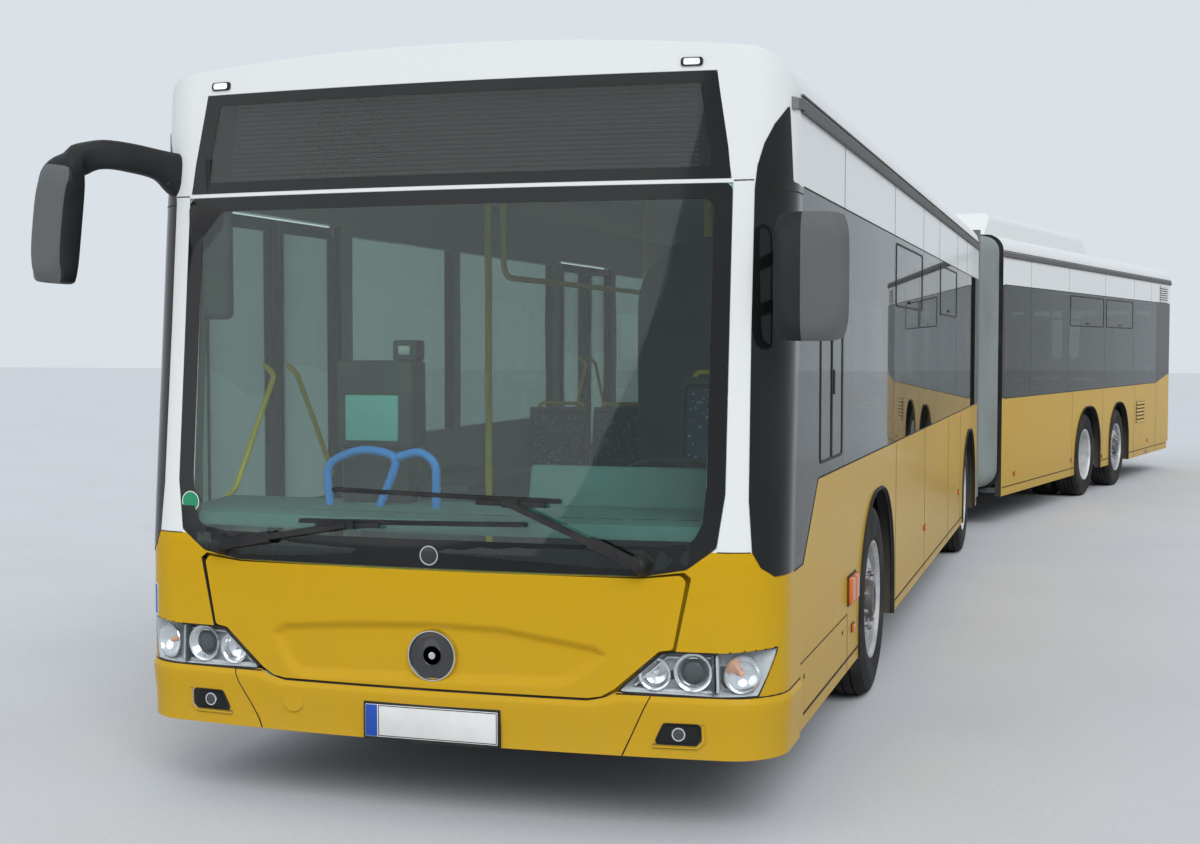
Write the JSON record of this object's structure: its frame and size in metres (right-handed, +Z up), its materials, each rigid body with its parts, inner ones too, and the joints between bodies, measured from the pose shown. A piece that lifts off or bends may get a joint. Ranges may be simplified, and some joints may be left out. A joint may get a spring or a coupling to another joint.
{
  "type": "articulated city bus",
  "caption": "Long low-floor city bus in sections hinged at a bellows joint, with double doors on its right side.",
  "frame": {"origin": "on the ground under the middle of the box round the bent vehicle", "axes": "+Z up, -Y out of the front section's nose, +X to the driver's (left) side"},
  "size_m": [4.8, 19.7862, 3.076],
  "materials": {
    "yellow_paint": "gloss",
    "white_paint": "gloss",
    "floor": "matt",
    "tinted_glass": "polished",
    "lamp_glass": "polished",
    "dark_plastic": "matt",
    "seat_fabric": "woven",
    "cast_metal": "rough",
    "aluminium": "satin",
    "wheel_steel": "satin",
    "tyre_rubber": "matt",
    "bellows_rubber": "matt"
  },
  "bodies": {
    "front_section": {"front_floor": "floor", "front_left_wall": "yellow_paint", "front_right_wall": "yellow_paint", "front_roof": "white_paint", "front_mask": "white_paint", "front_bumper": "yellow_paint", "windscreen": "tinted_glass", "front_glazing": "tinted_glass", "dashboard": "dark_plastic", "cab_partition": "dark_plastic", "front_seats": "seat_fabric", "headlamps": "lamp_glass", "mirrors": "dark_plastic", "front_axles": "cast_metal", "turntable": "cast_metal", "wipers": "dark_plastic", "bellows_front": "bellows_rubber"},
    "front_flap": {"front_flap": "yellow_paint"},
    "steering_wheel": {"steering_wheel": "dark_plastic"},
    "centre_hoop": {"centre_hoop": "aluminium"},
    "rear_section": {"rear_floor": "floor", "rear_deck": "floor", "rear_left_wall": "yellow_paint", "rear_right_wall": "yellow_paint", "rear_roof": "white_paint", "tail_mask": "yellow_paint", "rear_glazing": "tinted_glass", "rear_seats": "seat_fabric", "tail_lamps": "lamp_glass", "rear_axles": "cast_metal", "rear_roof_unit": "white_paint", "engine": "cast_metal", "bellows_rear": "bellows_rubber"},
    "engine_cover": {"engine_cover": "yellow_paint"},
    "front_left_knuckle": {"front_left_knuckle": "cast_metal"},
    "front_left_wheel": {"front_left_tyre": "tyre_rubber", "front_left_rim": "wheel_steel"},
    "front_right_knuckle": {"front_right_knuckle": "cast_metal"},
    "front_right_wheel": {"front_right_tyre": "tyre_rubber", "front_right_rim": "wheel_steel"},
    "trailing_left_knuckle": {"trailing_left_knuckle": "cast_metal"},
    "trailing_left_wheel": {"trailing_left_tyre": "tyre_rubber", "trailing_left_rim": "wheel_steel"},
    "trailing_right_knuckle": {"trailing_right_knuckle": "cast_metal"},
    "trailing_right_wheel": {"trailing_right_tyre": "tyre_rubber", "trailing_right_rim": "wheel_steel"},
    "middle_left_wheels": {"middle_left_tyres": "tyre_rubber", "middle_left_rims": "wheel_steel"},
    "middle_right_wheels": {"middle_right_tyres": "tyre_rubber", "middle_right_rims": "wheel_steel"},
    "drive_left_wheels": {"drive_left_tyres": "tyre_rubber", "drive_left_rims": "wheel_steel"},
    "drive_right_wheels": {"drive_right_tyres": "tyre_rubber", "drive_right_rims": "wheel_steel"},
    "front_door_front_leaf": {"front_door_front_leaf": "yellow_paint"},
    "front_door_rear_leaf": {"front_door_rear_leaf": "yellow_paint"},
    "middle_door_front_leaf": {"middle_door_front_leaf": "yellow_paint"},
    "middle_door_rear_leaf": {"middle_door_rear_leaf": "yellow_paint"},
    "rear_door_front_leaf": {"rear_door_front_leaf": "yellow_paint"},
    "rear_door_rear_leaf": {"rear_door_rear_leaf": "yellow_paint"}
  },
  "joints": [
    {"name": "articulation", "type": "hinge", "parent": "front_section", "child": "rear_section", "pos_m": [-0.86987, 0.3339, 0.37], "axis": [0, 0, 1], "range_deg": [-37.61, 62.39], "deforming": ["bellows_rear"]},
    {"name": "centre_hoop_turn", "type": "hinge", "parent": "front_section", "child": "centre_hoop", "pos_m": [-0.86987, 0.3339, 0.37], "axis": [0, 0, 1], "range_deg": [-18.8, 31.2], "deforming": ["bellows_front"]},
    {"name": "front_left_steer", "type": "hinge", "parent": "front_section", "child": "front_left_knuckle", "pos_m": [0.13013, -6.9961, 0.47825], "axis": [0, 0, 1], "range_deg": [-40, 40]},
    {"name": "front_left_roll", "type": "hinge", "parent": "front_left_knuckle", "child": "front_left_wheel", "pos_m": [0.24513, -6.9961, 0.47825], "axis": [1, 0, 0], "continuous": true},
    {"name": "front_right_steer", "type": "hinge", "parent": "front_section", "child": "front_right_knuckle", "pos_m": [-1.86987, -6.9961, 0.47825], "axis": [0, 0, 1], "range_deg": [-40, 40]},
    {"name": "front_right_roll", "type": "hinge", "parent": "front_right_knuckle", "child": "front_right_wheel", "pos_m": [-1.98487, -6.9961, 0.47825], "axis": [1, 0, 0], "continuous": true},
    {"name": "trailing_left_steer", "type": "hinge", "parent": "rear_section", "child": "trailing_left_knuckle", "pos_m": [1.41676, 6.08215, 0.47825], "axis": [0, 0, 1], "range_deg": [-15, 15]},
    {"name": "trailing_left_roll", "type": "hinge", "parent": "trailing_left_knuckle", "child": "trailing_left_wheel", "pos_m": [1.52908, 6.05748, 0.47825], "axis": [0.9767, -0.2146, 0], "continuous": true},
    {"name": "trailing_right_steer", "type": "hinge", "parent": "rear_section", "child": "trailing_right_knuckle", "pos_m": [-0.53666, 6.51128, 0.47825], "axis": [0, 0, 1], "range_deg": [-15, 15]},
    {"name": "trailing_right_roll", "type": "hinge", "parent": "trailing_right_knuckle", "child": "trailing_right_wheel", "pos_m": [-0.64899, 6.53596, 0.47825], "axis": [0.9767, -0.2146, 0], "continuous": true},
    {"name": "middle_left_roll", "type": "hinge", "parent": "front_section", "child": "middle_left_wheels", "pos_m": [0.22813, -1.1511, 0.47825], "axis": [1, 0, 0], "continuous": true},
    {"name": "middle_right_roll", "type": "hinge", "parent": "front_section", "child": "middle_right_wheels", "pos_m": [-1.96787, -1.1511, 0.47825], "axis": [1, 0, 0], "continuous": true},
    {"name": "drive_left_roll", "type": "hinge", "parent": "rear_section", "child": "drive_left_wheels", "pos_m": [1.16917, 4.49839, 0.47825], "axis": [0.9767, -0.2146, 0], "continuous": true},
    {"name": "drive_right_roll", "type": "hinge", "parent": "rear_section", "child": "drive_right_wheels", "pos_m": [-0.97569, 4.96957, 0.47825], "axis": [0.9767, -0.2146, 0], "continuous": true},
    {"name": "front_door_front_hinge", "type": "hinge", "parent": "front_section", "child": "front_door_front_leaf", "pos_m": [-2.09987, -9.1111, 1.3], "axis": [0, 0, 1], "range_deg": [-90, 0]},
    {"name": "front_door_rear_hinge", "type": "hinge", "parent": "front_section", "child": "front_door_rear_leaf", "pos_m": [-2.09987, -8.0011, 1.3], "axis": [0, 0, 1], "range_deg": [0, 90]},
    {"name": "middle_door_front_hinge", "type": "hinge", "parent": "front_section", "child": "middle_door_front_leaf", "pos_m": [-2.09987, -4.5511, 1.3], "axis": [0, 0, 1], "range_deg": [-90, 0]},
    {"name": "middle_door_rear_hinge", "type": "hinge", "parent": "front_section", "child": "middle_door_rear_leaf", "pos_m": [-2.09987, -3.4411, 1.3], "axis": [0, 0, 1], "range_deg": [0, 90]},
    {"name": "rear_door_front_hinge", "type": "hinge", "parent": "rear_section", "child": "rear_door_front_leaf", "pos_m": [-1.7526, 2.04823, 1.3], "axis": [0, 0, 1], "range_deg": [-90, 0]},
    {"name": "rear_door_rear_hinge", "type": "hinge", "parent": "rear_section", "child": "rear_door_rear_leaf", "pos_m": [-1.51443, 3.13238, 1.3], "axis": [0, 0, 1], "range_deg": [0, 90]},
    {"name": "front_flap_hinge", "type": "hinge", "parent": "front_section", "child": "front_flap", "pos_m": [-0.86987, -9.7041, 0.924], "axis": [1, 0, 0], "range_deg": [-75, 0]},
    {"name": "engine_cover_hinge", "type": "hinge", "parent": "rear_section", "child": "engine_cover", "pos_m": [1.16957, 9.61753, 1.244], "axis": [0.9767, -0.2146, 0], "range_deg": [0, 80]},
    {"name": "steering_wheel_turn", "type": "hinge", "parent": "front_section", "child": "steering_wheel", "pos_m": [-0.14987, -8.7711, 1.19], "axis": [0, 0.4695, 0.8829], "range_deg": [-720, 720]}
  ],
  "couplings": [
    {"joint": "centre_hoop_turn", "follows": "articulation", "ratio": 0.5},
    {"joint": "front_right_steer", "follows": "front_left_steer", "ratio": 1},
    {"joint": "trailing_right_steer", "follows": "trailing_left_steer", "ratio": 1},
    {"joint": "front_door_rear_hinge", "follows": "front_door_front_hinge", "ratio": -1},
    {"joint": "middle_door_rear_hinge", "follows": "middle_door_front_hinge", "ratio": -1},
    {"joint": "rear_door_rear_hinge", "follows": "rear_door_front_hinge", "ratio": -1},
    {"joint": "steering_wheel_turn", "follows": "front_left_steer", "ratio": 18}
  ]
}
